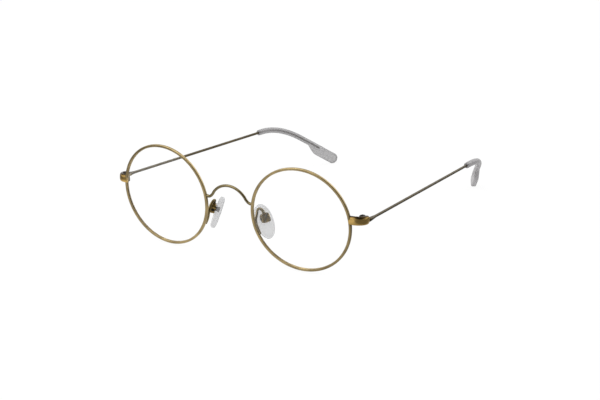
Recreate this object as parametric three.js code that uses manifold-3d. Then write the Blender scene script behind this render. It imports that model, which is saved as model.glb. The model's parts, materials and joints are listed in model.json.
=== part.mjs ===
// Round wire eyeglasses standing on a table: +Z up, +Y from the front to the temple tips.
// The wearer's left side is at +X. Millimetres and degrees.
import * as THREE from 'three';
import { mergeVertices } from 'three/addons/utils/BufferGeometryUtils.js';
import Module from 'manifold-3d';

const wasm = await Module();
wasm.setup();

// Lenses and rims
const LENS_WIDTH = 45;
const LENS_HEIGHT = 43.2;
const LENS_GAP = 23.6;
const LENS_EDGE = 1.5;
const LENS_BULGE = 2.2;
const BEVEL_DEPTH = 0.5;
const BEVEL_BASE = 0.6;
const BEVEL_TIP = 0.2;
const RIM_FACE = 1.15;
const RIM_DEPTH = 1.2;
const RIM_ROUNDING = 0.35;
const RIM_GROOVE = 0.42;
const GROOVE_MOUTH = 0.84;
const RIM_SPLIT = 0.35;
const SPLIT_HEIGHT = 3.2;
const FACE_WRAP = 3.8;

// Bridge wire
const BRIDGE_WIRE = 1.2;
const BRIDGE_RADIUS = 9.85;
const BRIDGE_APEX = 9.65;
const BRIDGE_FOOT = 3.45;
const BRIDGE_BACK = 0.4;
const BRIDGE_CORNER = 8;

// End pieces, from the rim round the corner to the hinge
const END_HEIGHT = 3.3;
const END_THICKNESS = 1.3;
const END_LEVEL = 2.95;
const END_RUN = 0.5;
const END_RADIUS = 4.2;
const END_TAIL = 1.3;
const END_CORNER = 1;

// Closing blocks that clamp the split rim behind the end piece, and their screw
const BLOCK_WIDTH = 2;
const BLOCK_DEPTH = 2;
const BLOCK_HEIGHT = 1.15;
const BLOCK_CORNER = 0.4;
const BLOCK_OUT = 0.9;
const CLOSING_SHANK = 0.9;
const CLOSING_HEAD = 1.6;
const CLOSING_HEAD_HEIGHT = 0.5;

// Hinges
const HINGE_LEVEL = 2.15;
const BARREL = 2.2;
const KNUCKLE_HEIGHT = 1.05;
const HINGE_PIN = 1;
const HINGE_HEAD = 2.4;
const HINGE_HEAD_HEIGHT = 0.9;
const LEAF_THICKNESS = 1;
const LEAF_LENGTH = 5.5;

// Temples and their plastic tips
const TEMPLE_WIRE = 1.2;
const TEMPLE_ROOT = 1.9;
const TEMPLE_TAPER = 6;
const TEMPLE_TO_TIP = 96.3;
const TEMPLE_DROOP = 5.2;
const TEMPLE_SPREAD = 0.8;
const TIP_TO_BEND = 17.1;
const TIP_BEND_RADIUS = 38;
const TIP_DROP = 31;
const TIP_TURN = 29.5;
const TIP_REACH = 38.5;
const TIP_TUBE = 2.6;
const CORE_REACH = 26.5;
const PADDLE_START = 20;
const PADDLE_FLARE = 6.4;
const PADDLE_WIDTH = 4.9;
const PADDLE_THICKNESS = 2;

// Nose pads, their boxes and their bent wire arms
const PAD_LENGTH = 15.2;
const PAD_WIDTH = 7.7;
const PAD_THICKNESS = 2.4;
const PAD_ROUNDING = 0.8;
const PAD_DROP = 1.5;
const PAD_SPLAY = 36;
const PAD_LEAN = 27;
const PAD_ROLL = 8;
const BOX_INSET = 2.2;
const BOX_BACK = 6.3;
const BOX_LEVEL = -4.4;
const BOX_WIDTH = 3.7;
const BOX_HEIGHT = 4;
const BOX_WALL = 0.5;
const BOX_CORNER = 0.6;
const BOX_TO_MOUTH = 0.95;
const BOX_TO_PAD = 0.4;
const TONGUE_WIDTH = 1;
const TONGUE_HEIGHT = 1.6;
const TONGUE_END = 0.75;
const INSERT_LENGTH = 4.4;
const INSERT_WIDTH = 2.6;
const INSERT_THICKNESS = 0.7;
const PAD_SCREW = 0.84;
const PAD_SCREW_HEAD = 1.5;
const PAD_SCREW_HEAD_HEIGHT = 0.4;
const PAD_ROCK = 8;
const ARM_WIRE = 1.1;
const ARM_SEAT_ANGLES = [204, 197.5, 191];
const ARM_LOOP = [
  { inset: 0.2, back: 2.9, level: -1.6 },
  { inset: 0.1, back: 4.5, level: 0.3 },
  { inset: 0.9, back: 5.7, level: -0.4 },
];

// Clearances: soldered seats, running fits, axial gaps, the lens in its groove, the wire in its tip
const SEAT = 0.15;
const RUNNING = 0.06;
const AXIAL = 0.1;
const GROOVE_CLEARANCE = 0.08;
const CORE_CLEARANCE = 0.2;

// Domed screw heads: the slot, the straight edge and the shoulder as shares of the height and the radius
const SLOT_WIDTH = 0.4;
const SLOT_DEPTH = 0.3;
const HEAD_EDGE = 0.33;
const SHOULDER_UP = 0.82;
const SHOULDER_OUT = 0.72;

// Facets
const RING_SIDES = 48;
const WIRE_SIDES = 8;
const BARREL_SIDES = 16;
const LENS_STEPS = 3;
const ARCH_POINTS = 8;
const BRIDGE_STEPS = 32;
const TEMPLE_STEPS = 36;
const TIP_STEPS = 16;
const ARM_STEPS = 20;
const CORNER_STEPS = 8;
const OVAL_STEPS = 14;

const rad = THREE.MathUtils.degToRad;
const OVERCUT = 1;

// Places that several pieces share, in the frame of one eye: X towards the temple, Y back, Z up
const rimRoot = LENS_WIDTH / 2 + GROOVE_CLEARANCE;
const rimInner = rimRoot - RIM_GROOVE;
const rimOuter = rimInner + RIM_FACE;
const rimMiddle = (rimInner + rimOuter) / 2;
const roundness = LENS_HEIGHT / LENS_WIDTH;
const eyeOffset = (LENS_GAP + LENS_WIDTH) / 2;
const rimBack = RIM_DEPTH / 2;
const blockX = rimMiddle + BLOCK_OUT;
const blockY = Math.max(rimBack, END_THICKNESS / 2) + SEAT + BLOCK_DEPTH / 2;
const endCornerX = rimOuter + SEAT + END_RUN;
const endCornerY = END_RADIUS;
const endTailX = endCornerX + END_RADIUS;
const endInnerRadius = END_RADIUS - END_THICKNESS / 2;
const hingeX = endTailX - END_THICKNESS / 2 - SEAT - Math.max(BARREL, HINGE_HEAD) / 2;
const hingeY = endCornerY;
const hingeStack = 3 * KNUCKLE_HEIGHT + 2 * AXIAL;
const templeStartY = endCornerY + END_TAIL + SEAT;
const padPlane = -(BOX_TO_MOUTH + BOX_TO_PAD + PAD_THICKNESS / 2);
const boxFront = -BOX_TO_MOUTH;
const boxBack = TONGUE_END + AXIAL + TONGUE_HEIGHT * Math.sin(rad(PAD_ROCK)) / 2 + BOX_WALL;

const brass = { color: 0x8f7440, metalness: 0.9, roughness: 0.4 };
const darkBrass = { color: 0x2c2417, metalness: 0.9, roughness: 0.45 };
const clearLens = { color: 0xf4f8f8, metalness: 0, roughness: 0.05, transparent: true, opacity: 0.2 };
const silicone = { color: 0xdfe0e0, metalness: 0, roughness: 0.35, transparent: true, opacity: 0.7 };
const greyPlastic = { color: 0xb4b4b6, metalness: 0, roughness: 0.3, transparent: true, opacity: 0.8 };

// A closed geometry as a solid for joining and cutting
function solid(geometry) {
  const bare = geometry.clone();
  bare.deleteAttribute('normal');
  bare.deleteAttribute('uv');
  const merged = mergeVertices(bare, 1e-4);
  return new wasm.Manifold(new wasm.Mesh({
    numProp: 3,
    vertProperties: new Float32Array(merged.attributes.position.array),
    triVerts: new Uint32Array(merged.index.array),
  }));
}

function geometryOf(body) {
  const { vertProperties, triVerts } = body.getMesh();
  const geometry = new THREE.BufferGeometry();
  geometry.setAttribute('position', new THREE.BufferAttribute(vertProperties, 3));
  geometry.setIndex(new THREE.BufferAttribute(triVerts, 1));
  geometry.computeVertexNormals();
  return geometry;
}

// Pieces are drawn for the wearer's left side, and the right side is their mirror image
function handed(geometry, side) {
  const copy = geometry.clone();
  if (side > 0) return copy;
  const bare = copy.index ? copy.toNonIndexed() : copy;
  bare.scale(-1, 1, 1);
  const points = bare.attributes.position;
  for (let first = 0; first < points.count; first += 3) {
    const a = new THREE.Vector3().fromBufferAttribute(points, first);
    const b = new THREE.Vector3().fromBufferAttribute(points, first + 1);
    points.setXYZ(first, b.x, b.y, b.z);
    points.setXYZ(first + 1, a.x, a.y, a.z);
  }
  bare.computeVertexNormals();
  return bare;
}

function piece(name, geometry, finish) {
  const mesh = new THREE.Mesh(geometry, new THREE.MeshStandardMaterial(finish));
  mesh.name = name;
  return mesh;
}

function box(x, y, z, width, depth, height) {
  return new THREE.BoxGeometry(width, depth, height).translate(x, y, z);
}

// An upright cylinder from one level to another
function upright(x, y, low, high, diameter, sides = BARREL_SIDES) {
  const geometry = new THREE.CylinderGeometry(diameter / 2, diameter / 2, high - low, sides);
  return geometry.rotateX(Math.PI / 2).translate(x, y, (low + high) / 2);
}

function circle(diameter) {
  const points = [];
  for (let step = 0; step < WIRE_SIDES; step++) {
    const turn = (2 * Math.PI * step) / WIRE_SIDES;
    points.push(new THREE.Vector2(Math.cos(turn), Math.sin(turn)).multiplyScalar(diameter / 2));
  }
  return new THREE.Shape(points);
}

function wire(path, diameter, steps) {
  return new THREE.ExtrudeGeometry(circle(diameter), { steps, extrudePath: path, bevelEnabled: false });
}

// A rounded rectangle about the origin
function rounded(width, height, corner) {
  const shape = new THREE.Shape();
  const x = width / 2 - corner;
  const y = height / 2 - corner;
  shape.absarc(x, y, corner, 0, Math.PI / 2);
  shape.absarc(-x, y, corner, Math.PI / 2, Math.PI);
  shape.absarc(-x, -y, corner, Math.PI, 1.5 * Math.PI);
  shape.absarc(x, -y, corner, 1.5 * Math.PI, 2 * Math.PI);
  return shape;
}

function slab(shape, depth, curveSegments = 3) {
  return new THREE.ExtrudeGeometry(shape, { depth, curveSegments, bevelEnabled: false });
}

// A domed, slotted screw head standing on a level
function screwHead(x, y, level, diameter, height) {
  const profile = [[0, 0], [1, 0], [1, HEAD_EDGE], [SHOULDER_OUT, SHOULDER_UP], [0, 1]];
  const points = profile.map(([out, up]) => new THREE.Vector2((out * diameter) / 2, up * height));
  const dome = new THREE.LatheGeometry(points, BARREL_SIDES).rotateX(Math.PI / 2).translate(x, y, level);
  const slot = box(x, y, level + height, SLOT_WIDTH, diameter + OVERCUT, 2 * SLOT_DEPTH);
  return solid(dome).subtract(solid(slot));
}

// A place on the middle of the rim, by its angle from the temple side
function onRim(degrees, y) {
  const turn = rad(degrees);
  return new THREE.Vector3(rimMiddle * Math.cos(turn), y, rimMiddle * roundness * Math.sin(turn));
}

// A ring turned from a section and drawn in to the lens height
function ring(section) {
  const points = section.map(([radius, y]) => new THREE.Vector2(radius, y));
  return new THREE.LatheGeometry(points, RING_SIDES).scale(1, 1, roundness);
}

function rimGeometry() {
  const half = RIM_DEPTH / 2;
  const mouth = GROOVE_MOUTH / 2;
  const root = BEVEL_TIP / 2 + GROOVE_CLEARANCE;
  const section = [
    [rimOuter, -half + RIM_ROUNDING], [rimOuter, half - RIM_ROUNDING],
    [rimOuter - RIM_ROUNDING, half], [rimInner, half],
    [rimInner, mouth], [rimRoot, root], [rimRoot, -root], [rimInner, -mouth],
    [rimInner, -half], [rimOuter - RIM_ROUNDING, -half], [rimOuter, -half + RIM_ROUNDING],
  ];
  const split = box(rimMiddle, 0, SPLIT_HEIGHT, RIM_FACE * 2, RIM_DEPTH * 2, RIM_SPLIT);
  return geometryOf(solid(ring(section)).subtract(solid(split)));
}

function lensGeometry() {
  const tip = LENS_WIDTH / 2;
  const edge = tip - BEVEL_DEPTH;
  const half = LENS_EDGE / 2;
  const front = [];
  const back = [];
  for (let step = 0; step <= LENS_STEPS; step++) {
    const share = step / LENS_STEPS;
    const bulge = LENS_BULGE * (1 - share * share);
    front.push([edge * share, -half - bulge]);
    back.unshift([edge * share, half - bulge]);
  }
  const bevel = [
    [edge, -BEVEL_BASE / 2], [tip, -BEVEL_TIP / 2], [tip, BEVEL_TIP / 2], [edge, BEVEL_BASE / 2],
  ];
  return ring([...front, ...bevel, ...back]);
}

// The arch of the bridge, with a short foot to each rim
function bridgeGeometry() {
  const reach = rimOuter * Math.sqrt(1 - (BRIDGE_FOOT / (rimOuter * roundness)) ** 2);
  const seatX = eyeOffset - (reach + SEAT) * Math.cos(rad(FACE_WRAP));
  const seatY = BRIDGE_BACK - reach * Math.sin(rad(FACE_WRAP));
  const centre = BRIDGE_APEX - BRIDGE_RADIUS;
  const lowest = Math.asin((BRIDGE_FOOT - centre) / BRIDGE_RADIUS);
  const cornerX = BRIDGE_RADIUS * Math.cos(lowest);
  const footX = (seatX + cornerX) / 2;
  const arch = [];
  const first = lowest + rad(BRIDGE_CORNER);
  for (let step = 0; step <= ARCH_POINTS; step++) {
    const turn = THREE.MathUtils.lerp(first, Math.PI - first, step / ARCH_POINTS);
    const x = BRIDGE_RADIUS * Math.cos(turn);
    arch.push(new THREE.Vector3(x, seatY, centre + BRIDGE_RADIUS * Math.sin(turn)));
  }
  const feet = [seatX, footX].map((x) => new THREE.Vector3(x, seatY, BRIDGE_FOOT));
  const farFeet = [footX, seatX].map((x) => new THREE.Vector3(-x, seatY, BRIDGE_FOOT));
  const path = new THREE.CatmullRomCurve3([...feet, ...arch, ...farFeet]);
  return wire(path, BRIDGE_WIRE, BRIDGE_STEPS);
}

// A bent plate: out from the rim, round the corner and back to the temple
function endPieceGeometry() {
  const half = END_THICKNESS / 2;
  const start = rimOuter - RIM_FACE / 2;
  const tail = endCornerY + END_TAIL;
  const plan = new THREE.Shape();
  plan.moveTo(start, -half);
  plan.lineTo(endCornerX, -half);
  plan.absarc(endCornerX, endCornerY, END_RADIUS + half, -Math.PI / 2, 0);
  plan.lineTo(endTailX + half, tail);
  plan.lineTo(endTailX - half, tail);
  plan.absarc(endCornerX, endCornerY, endInnerRadius, 0, -Math.PI / 2, true);
  plan.lineTo(start, half);
  const plate = slab(plan, END_HEIGHT, CORNER_STEPS).translate(0, 0, END_LEVEL - END_HEIGHT / 2);
  const across = 2 * END_RADIUS;
  const outline = slab(rounded(2 * tail, END_HEIGHT, END_CORNER), 2 * across)
    .rotateX(Math.PI / 2).rotateZ(Math.PI / 2).translate(endTailX - across, 0, END_LEVEL);
  const clearRadius = rimOuter + SEAT;
  const clear = new THREE.CylinderGeometry(clearRadius, clearRadius, END_THICKNESS + OVERCUT, RING_SIDES)
    .scale(1, 1, roundness);
  return geometryOf(solid(plate).intersect(solid(outline)).subtract(solid(clear)));
}

// Two blocks behind the rim, one on each side of its split, and the screw that draws them together from below
function closingBlock(level) {
  const plan = rounded(BLOCK_WIDTH, BLOCK_DEPTH, BLOCK_CORNER);
  const block = slab(plan, BLOCK_HEIGHT).translate(blockX, blockY, level);
  const top = level + BLOCK_HEIGHT + OVERCUT;
  const bore = upright(blockX, blockY, level - OVERCUT, top, CLOSING_SHANK + 2 * RUNNING);
  return geometryOf(solid(block).subtract(solid(bore)));
}

function closingScrew() {
  const length = 2 * BLOCK_HEIGHT + RIM_SPLIT + AXIAL;
  const bottom = SPLIT_HEIGHT - RIM_SPLIT / 2 - BLOCK_HEIGHT - AXIAL;
  const shank = upright(0, 0, -length, 0, CLOSING_SHANK);
  const screw = screwHead(0, 0, 0, CLOSING_HEAD, CLOSING_HEAD_HEIGHT).add(solid(shank));
  return geometryOf(screw).rotateX(Math.PI).translate(blockX, blockY, bottom);
}

// Hinge pieces, about the hinge axis at the middle of the barrel
const pinBore = upright(0, 0, -hingeStack, hingeStack, HINGE_PIN + 2 * RUNNING);
const middleHalf = KNUCKLE_HEIGHT / 2;

function frontLeaf() {
  const barrel = solid(upright(0, 0, -hingeStack / 2, hingeStack / 2, BARREL));
  const arc = upright(endCornerX - hingeX, endCornerY - hingeY, -hingeStack, hingeStack,
    2 * (endInnerRadius - SEAT), RING_SIDES);
  const web = box(0, -endInnerRadius / 2, 0, BARREL, endInnerRadius, hingeStack);
  const gap = upright(0, 0, -middleHalf - AXIAL, middleHalf + AXIAL, BARREL + 2 * SEAT);
  const leaf = solid(web).intersect(solid(arc)).add(barrel);
  return geometryOf(leaf.subtract(solid(gap)).subtract(solid(pinBore)));
}

function templeLeaf() {
  const outer = endTailX - hingeX - TEMPLE_ROOT / 2 - SEAT;
  const back = templeStartY - hingeY + LEAF_LENGTH;
  const plate = box(outer - LEAF_THICKNESS / 2, back / 2, 0, LEAF_THICKNESS, back, KNUCKLE_HEIGHT);
  const knuckle = upright(0, 0, -middleHalf, middleHalf, BARREL);
  return geometryOf(solid(knuckle).add(solid(plate)).subtract(solid(pinBore)));
}

function hingeScrew() {
  const top = hingeStack / 2 + AXIAL;
  const shank = upright(0, 0, -hingeStack / 2, top, HINGE_PIN);
  return geometryOf(screwHead(0, 0, top, HINGE_HEAD, HINGE_HEAD_HEIGHT).add(solid(shank)));
}

// The way of the temple wire: straight to the bend, then down and inward, in the temple's own frame
const tipDirection = new THREE.Vector3(0, 1, 0)
  .applyEuler(new THREE.Euler(-rad(TIP_DROP), 0, rad(TIP_TURN), 'ZYX'));
const bendPoint = new THREE.Vector3(0, TEMPLE_TO_TIP + TIP_TO_BEND, 0);
const bendTangent = TIP_BEND_RADIUS * Math.tan(Math.acos(tipDirection.y) / 2);

function pastBend(distance) {
  return bendPoint.clone().addScaledVector(tipDirection, distance);
}

function templePath(from, to) {
  const start = new THREE.Vector3(0, from, 0);
  const bendStart = new THREE.Vector3(0, bendPoint.y - bendTangent, 0);
  const bendEnd = pastBend(bendTangent);
  const path = new THREE.CurvePath();
  path.add(new THREE.LineCurve3(start, bendStart));
  path.add(new THREE.QuadraticBezierCurve3(bendStart, bendPoint, bendEnd));
  path.add(new THREE.LineCurve3(bendEnd, pastBend(to)));
  return path;
}

function templeGeometry() {
  const rod = wire(templePath(0, CORE_REACH), TEMPLE_WIRE, TEMPLE_STEPS);
  const root = new THREE.CylinderGeometry(TEMPLE_WIRE / 2, TEMPLE_ROOT / 2, TEMPLE_TAPER, BARREL_SIDES)
    .translate(0, TEMPLE_TAPER / 2, 0);
  return geometryOf(solid(rod).add(solid(root)));
}

// The flat end of a tip, level with its tube on the upper side and flared on the lower side
function paddleShape() {
  const top = TIP_TUBE / 2;
  const bottom = top - PADDLE_WIDTH;
  const end = TIP_REACH - PADDLE_WIDTH / 2;
  const shape = new THREE.Shape();
  shape.moveTo(PADDLE_START, top);
  shape.lineTo(PADDLE_START, 0);
  shape.bezierCurveTo(PADDLE_START + PADDLE_FLARE / 2, 0, PADDLE_START + PADDLE_FLARE / 2, bottom,
    PADDLE_START + PADDLE_FLARE, bottom);
  shape.lineTo(end, bottom);
  shape.absarc(end, (top + bottom) / 2, PADDLE_WIDTH / 2, -Math.PI / 2, Math.PI / 2);
  return shape;
}

function tipGeometry() {
  const flat = new THREE.ExtrudeGeometry(paddleShape(), { depth: PADDLE_THICKNESS, bevelEnabled: false });
  const along = new THREE.Vector3(0, 1, 0);
  const over = new THREE.Vector3(0, 0, 1);
  const across = new THREE.Vector3(1, 0, 0);
  flat.translate(0, 0, -PADDLE_THICKNESS / 2);
  flat.applyMatrix4(new THREE.Matrix4().makeBasis(along, over, across));
  flat.rotateX(-rad(TIP_DROP)).rotateZ(rad(TIP_TURN)).translate(...bendPoint.toArray());
  const tube = wire(templePath(TEMPLE_TO_TIP, CORE_REACH + TIP_TUBE), TIP_TUBE, TIP_STEPS);
  const bore = wire(templePath(TEMPLE_TO_TIP - OVERCUT, CORE_REACH + CORE_CLEARANCE),
    TEMPLE_WIRE + 2 * CORE_CLEARANCE, TIP_STEPS);
  return geometryOf(solid(tube).add(solid(flat)).subtract(solid(bore)));
}

// Nose pad pieces, about the pad's pivot in its box: the nose is at -X, Z runs along the pad
function padGeometry() {
  const flat = PAD_THICKNESS - 2 * PAD_ROUNDING;
  const oval = new THREE.Shape();
  oval.absellipse(0, 0, PAD_LENGTH / 2 - PAD_ROUNDING, PAD_WIDTH / 2 - PAD_ROUNDING, 0, 2 * Math.PI);
  const body = new THREE.ExtrudeGeometry(oval, {
    depth: flat,
    curveSegments: OVAL_STEPS,
    bevelThickness: PAD_ROUNDING,
    bevelSize: PAD_ROUNDING,
    bevelSegments: 2,
  });
  const along = new THREE.Vector3(0, 0, 1);
  const across = new THREE.Vector3(0, 1, 0);
  const out = new THREE.Vector3(-1, 0, 0);
  body.translate(0, 0, -flat / 2).applyMatrix4(new THREE.Matrix4().makeBasis(along, across, out));
  body.translate(padPlane, 0, -PAD_DROP);
  return geometryOf(solid(body).subtract(insertSolid(SEAT)));
}

// The stiffener inside the pad and the tongue that it puts into the box, grown by a clearance
function insertSolid(grow) {
  const extra = 2 * grow;
  const plate = box(padPlane, 0, 0, INSERT_THICKNESS + extra, INSERT_WIDTH + extra, INSERT_LENGTH + extra);
  const length = TONGUE_END - padPlane;
  const tongue = box(padPlane + length / 2, 0, 0, length, TONGUE_WIDTH + extra, TONGUE_HEIGHT + extra);
  return solid(plate).add(solid(tongue));
}

function crosswise(diameter, length, y) {
  return new THREE.CylinderGeometry(diameter / 2, diameter / 2, length, BARREL_SIDES).translate(0, y, 0);
}

function insertGeometry() {
  const hole = crosswise(PAD_SCREW + 2 * RUNNING, BOX_WIDTH, 0);
  return geometryOf(insertSolid(0).subtract(solid(hole)));
}

function boxGeometry() {
  const depth = boxBack - boxFront;
  const shell = slab(rounded(depth, BOX_HEIGHT, BOX_CORNER), BOX_WIDTH)
    .translate(0, 0, -BOX_WIDTH / 2).rotateX(Math.PI / 2).translate((boxFront + boxBack) / 2, 0, 0);
  const slotBack = boxBack - BOX_WALL;
  const room = TONGUE_HEIGHT + 2 * (SEAT + BOX_HEIGHT * Math.sin(rad(PAD_ROCK)) / 2);
  const slot = box(slotBack - depth / 2, 0, 0, depth, TONGUE_WIDTH + 2 * SEAT, room);
  const hole = crosswise(PAD_SCREW + 2 * RUNNING, BOX_WIDTH + OVERCUT, 0);
  return geometryOf(solid(shell).subtract(solid(slot)).subtract(solid(hole)));
}

function padScrewGeometry() {
  const height = PAD_SCREW_HEAD_HEIGHT;
  const front = -BOX_WIDTH / 2 - AXIAL;
  const head = crosswise(PAD_SCREW_HEAD, height, front - height / 2);
  const slot = box(0, front - height, 0, PAD_SCREW_HEAD + OVERCUT, height, SLOT_WIDTH);
  const root = AXIAL + height / 4;
  const shank = crosswise(PAD_SCREW, BOX_WIDTH + root, -root / 2);
  return geometryOf(solid(head).subtract(solid(slot)).add(solid(shank)));
}

// The arm lies along the back of the rim, loops over and comes down on the box
function armGeometry() {
  const seatY = rimBack + SEAT + ARM_WIRE / 2;
  const seated = ARM_SEAT_ANGLES.map((angle) => onRim(angle, seatY));
  const loop = ARM_LOOP.map(({ inset, back, level }) => new THREE.Vector3(inset - rimMiddle, back, level));
  const onBox = (rise) => new THREE.Vector3((boxFront + boxBack) / 2, 0, BOX_HEIGHT / 2 + SEAT + rise)
    .applyEuler(padTurn(1)).add(padPivot(1));
  const path = new THREE.CatmullRomCurve3([...seated, ...loop, onBox(ARM_WIRE), onBox(0)]);
  return wire(path, ARM_WIRE, ARM_STEPS);
}

function padPivot(side) {
  return new THREE.Vector3(side * (BOX_INSET - rimMiddle), BOX_BACK, BOX_LEVEL);
}

function padTurn(side) {
  return new THREE.Euler(-rad(PAD_ROLL), -side * rad(PAD_LEAN), -side * rad(PAD_SPLAY), 'YZX');
}

// One half of the glasses in the frame of its eye, turned with the wrap of the front
function half(side) {
  const name = side > 0 ? 'left' : 'right';
  const add = (group, part, geometry, finish) => {
    group.add(piece(`${name}_${part}`, handed(geometry, side), finish));
  };
  const eye = new THREE.Group();
  eye.position.x = side * eyeOffset;
  eye.rotation.z = side * rad(FACE_WRAP);
  add(eye, 'rim', rimGeometry(), brass);
  add(eye, 'lens', lensGeometry(), clearLens);
  add(eye, 'end_piece', endPieceGeometry(), brass);
  add(eye, 'closing_block_upper', closingBlock(SPLIT_HEIGHT + RIM_SPLIT / 2), brass);
  add(eye, 'closing_block_lower', closingBlock(SPLIT_HEIGHT - RIM_SPLIT / 2 - BLOCK_HEIGHT), brass);
  add(eye, 'closing_screw', closingScrew(), darkBrass);
  add(eye, 'pad_arm', armGeometry(), brass);

  const hinge = new THREE.Group();
  hinge.position.set(side * hingeX, hingeY, HINGE_LEVEL);
  add(hinge, 'hinge_front_leaf', frontLeaf(), brass);
  add(hinge, 'hinge_temple_leaf', templeLeaf(), brass);
  add(hinge, 'hinge_screw', hingeScrew(), darkBrass);
  eye.add(hinge);

  const temple = new THREE.Group();
  temple.position.set(side * endTailX, templeStartY, HINGE_LEVEL);
  temple.rotation.set(-rad(TEMPLE_DROOP), 0, -side * rad(TEMPLE_SPREAD));
  add(temple, 'temple', templeGeometry(), brass);
  add(temple, 'temple_tip', tipGeometry(), greyPlastic);
  eye.add(temple);

  const pad = new THREE.Group();
  pad.position.copy(padPivot(side));
  pad.rotation.copy(padTurn(side));
  add(pad, 'pad_box', boxGeometry(), brass);
  add(pad, 'pad_screw', padScrewGeometry(), darkBrass);
  add(pad, 'pad_insert', insertGeometry(), darkBrass);
  add(pad, 'nose_pad', padGeometry(), silicone);
  eye.add(pad);
  return eye;
}

// The lowest level of a piece when the glasses lean forward by an angle
function lowest(mesh, lean) {
  const point = new THREE.Vector3();
  const points = mesh.geometry.attributes.position;
  let level = Infinity;
  for (let index = 0; index < points.count; index++) {
    point.fromBufferAttribute(points, index).applyMatrix4(mesh.matrixWorld);
    level = Math.min(level, point.y * Math.sin(lean) + point.z * Math.cos(lean));
  }
  return level;
}

// The glasses lean until the rims and the tips stand on the same level
function standingLean(glasses) {
  const rim = glasses.getObjectByName('left_rim');
  const tip = glasses.getObjectByName('left_temple_tip');
  let low = -Math.PI / 6;
  let high = Math.PI / 6;
  const rounds = 40;
  for (let round = 0; round < rounds; round++) {
    const middle = (low + high) / 2;
    if (lowest(tip, middle) < lowest(rim, middle)) low = middle;
    else high = middle;
  }
  return (low + high) / 2;
}

const glasses = new THREE.Group();
glasses.add(half(1), half(-1));
glasses.add(piece('bridge', bridgeGeometry(), brass));
glasses.updateMatrixWorld(true);
glasses.rotation.x = standingLean(glasses);
const bounds = new THREE.Box3().setFromObject(glasses, true);
glasses.position.set(0, -(bounds.min.y + bounds.max.y) / 2, -bounds.min.z);
glasses.updateMatrixWorld(true);

export default glasses;
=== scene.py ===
"""Round wire eyeglasses in antique brass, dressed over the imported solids.

Sizes are in millimetres and angles in degrees. Sides are the wearer's, and the left one is at +X.
"""

import json
import math

import bpy
from mathutils import Matrix, Vector


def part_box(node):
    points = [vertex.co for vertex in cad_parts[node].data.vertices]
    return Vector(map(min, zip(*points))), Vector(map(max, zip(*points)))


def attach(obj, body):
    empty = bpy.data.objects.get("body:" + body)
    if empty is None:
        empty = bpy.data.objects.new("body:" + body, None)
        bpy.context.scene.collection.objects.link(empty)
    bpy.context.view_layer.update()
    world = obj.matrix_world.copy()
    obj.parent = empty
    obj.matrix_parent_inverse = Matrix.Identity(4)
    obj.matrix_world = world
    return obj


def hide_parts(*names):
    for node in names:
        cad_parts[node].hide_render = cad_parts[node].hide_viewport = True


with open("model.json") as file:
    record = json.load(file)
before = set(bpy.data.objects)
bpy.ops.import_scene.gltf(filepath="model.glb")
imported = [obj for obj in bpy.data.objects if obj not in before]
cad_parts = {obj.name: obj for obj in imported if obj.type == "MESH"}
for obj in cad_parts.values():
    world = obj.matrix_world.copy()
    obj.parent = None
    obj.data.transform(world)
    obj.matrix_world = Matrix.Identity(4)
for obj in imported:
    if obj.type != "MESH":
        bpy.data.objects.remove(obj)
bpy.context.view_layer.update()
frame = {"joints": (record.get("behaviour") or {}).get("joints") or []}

MM = 0.001

# Rims, lenses and bridge
LENS_WIDTH = 45
LENS_HEIGHT = 43.2
LENS_BULGE = 2.2
LENS_RINGS = 16
LENS_STEPS = 128
BEVEL_DEPTH = 0.5
BEVEL_BASE = 0.6
BEVEL_TIP = 0.2
RIM_MIDDLE = 22.735
RIM_FACE = 1.15
RIM_DEPTH = 1.2
RIM_ROUNDING = 0.35
RIM_LIP = 0.12
RIM_GROOVE = 0.42
RIM_STEPS = 220
RIM_CORNER_STEPS = 6
GROOVE_MOUTH = 0.84
GROOVE_FLOOR = 0.4
RIM_SPLIT = 0.06
SPLIT_HEIGHT = 2.7
FACE_WRAP = 3.8
BRIDGE_WIRE = 1.2
BRIDGE_RADIUS = 9.85
BRIDGE_APEX = 9.65
BRIDGE_FOOT = 3.45
BRIDGE_BACK = 0.4
BRIDGE_CORNER = 8
BRIDGE_STEPS = 14
BRIDGE_FOOT_SHARES = (0, 0.3, 0.62)
BRIDGE_SOLDER = (1.3, 1.15, 1)

# End pieces, rim clamps and hinges
END_HEIGHT = 3.7
END_THICKNESS = 1.3
END_LEVEL = 3.15
END_START = 22.25
END_START_ROUNDING = 0.3
END_CORNER_X = 23.96
END_CORNER_STEPS = 18
END_RADIUS = 4.2
END_TAIL = 1.3
END_TAIL_ROUNDING = 0.9
END_ROUND_STEPS = 5
END_LIP = 0.15
END_DOME = 0.64
END_DOME_STEPS = 8
END_DROOP = 9
CLAMP_X = 23.635
CLAMP_WIDTH = 2
CLAMP_FRONT = 0.5
CLAMP_BACK = 2.3
CLAMP_SCREW_Y = 1.7
CLAMP_HEIGHT = 1.15
CLAMP_GAP = 0.35
CLAMP_ROUNDING = 0.3
CLAMP_HEAD = 1.2
CLAMP_HEAD_HEIGHT = 0.3
CLAMP_SHANK = 0.8
HINGE_X = 26.16
HINGE_LEVEL = 2.15
BARREL = 2.2
BARREL_SIDES = 40
BARREL_ROUNDING = 0.12
KNUCKLE_HEIGHT = 0.85
KNUCKLE_GAP = 0.1
HINGE_HEAD = 2.7
HINGE_HEAD_HEIGHT = 0.9
HINGE_PIN = 1
WEB_WIDTH = 1.7
WEB_REACH = 1.85
WEB_TURN = 60
WEB_INSET = 0.2
WEB_ROUNDING = 0.1
LEAF_THICKNESS = 1
LEAF_LENGTH = 3.2
LEAF_SINK = 0.05
LEAF_INSET = 0.03
LEAF_ROUNDING = 0.2

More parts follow.
